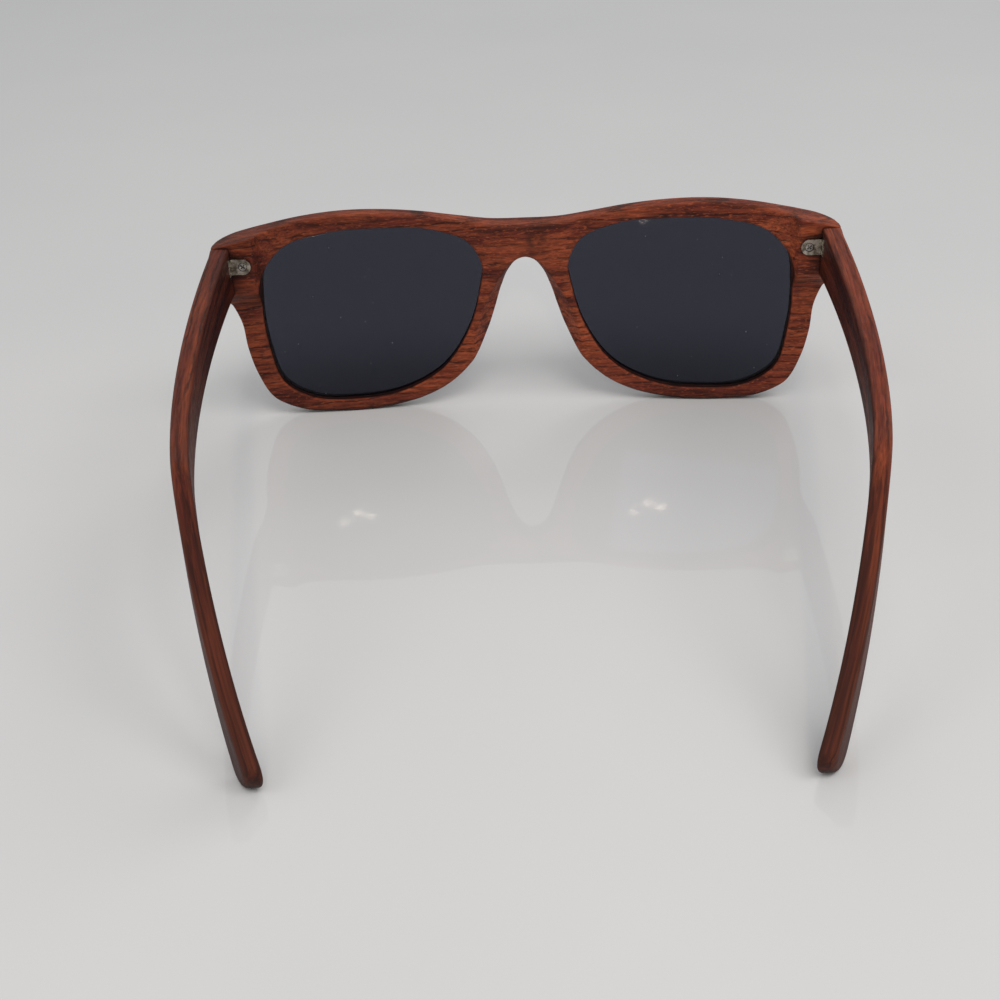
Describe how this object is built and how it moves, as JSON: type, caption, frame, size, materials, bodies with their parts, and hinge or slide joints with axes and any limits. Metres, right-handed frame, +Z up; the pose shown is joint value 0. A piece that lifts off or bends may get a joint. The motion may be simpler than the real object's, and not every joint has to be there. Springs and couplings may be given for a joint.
{
  "type": "sunglasses",
  "caption": "Wooden sunglasses with a bowed front carved from a board, dark lenses held in grooves, and bent wooden temples that fold in on small metal barrel hinges.",
  "frame": {"origin": "on the table, under the middle of the box round the open sunglasses", "axes": "+Z up, +Y the way the wearer looks, +X to the wearer's right"},
  "size_m": [0.144, 0.148, 0.0504],
  "materials": {
    "wood": "oiled satin, dark streaks along the grain",
    "lens": "polished, dark blue-grey tint",
    "hinge": "worn satin nickel",
    "screw": "satin"
  },
  "bodies": {
    "front": {"front_frame": "wood", "left_lens": "lens", "right_lens": "lens", "left_front_leaf": "hinge", "right_front_leaf": "hinge", "left_front_leaf_screw": "screw", "right_front_leaf_screw": "screw", "left_hinge_screw": "screw", "right_hinge_screw": "screw"},
    "left_arm": {"left_temple": "wood", "left_temple_leaf": "hinge"},
    "right_arm": {"right_temple": "wood", "right_temple_leaf": "hinge"}
  },
  "joints": [
    {"name": "left_fold", "type": "hinge", "parent": "front", "child": "left_arm", "pos_m": [-0.06865, 0.05981, 0.0414], "axis": [0, 0, 1], "range_deg": [0, 83]},
    {"name": "right_fold", "type": "hinge", "parent": "front", "child": "right_arm", "pos_m": [0.06865, 0.05981, 0.0414], "axis": [0, 0, -1], "range_deg": [0, 73]}
  ]
}
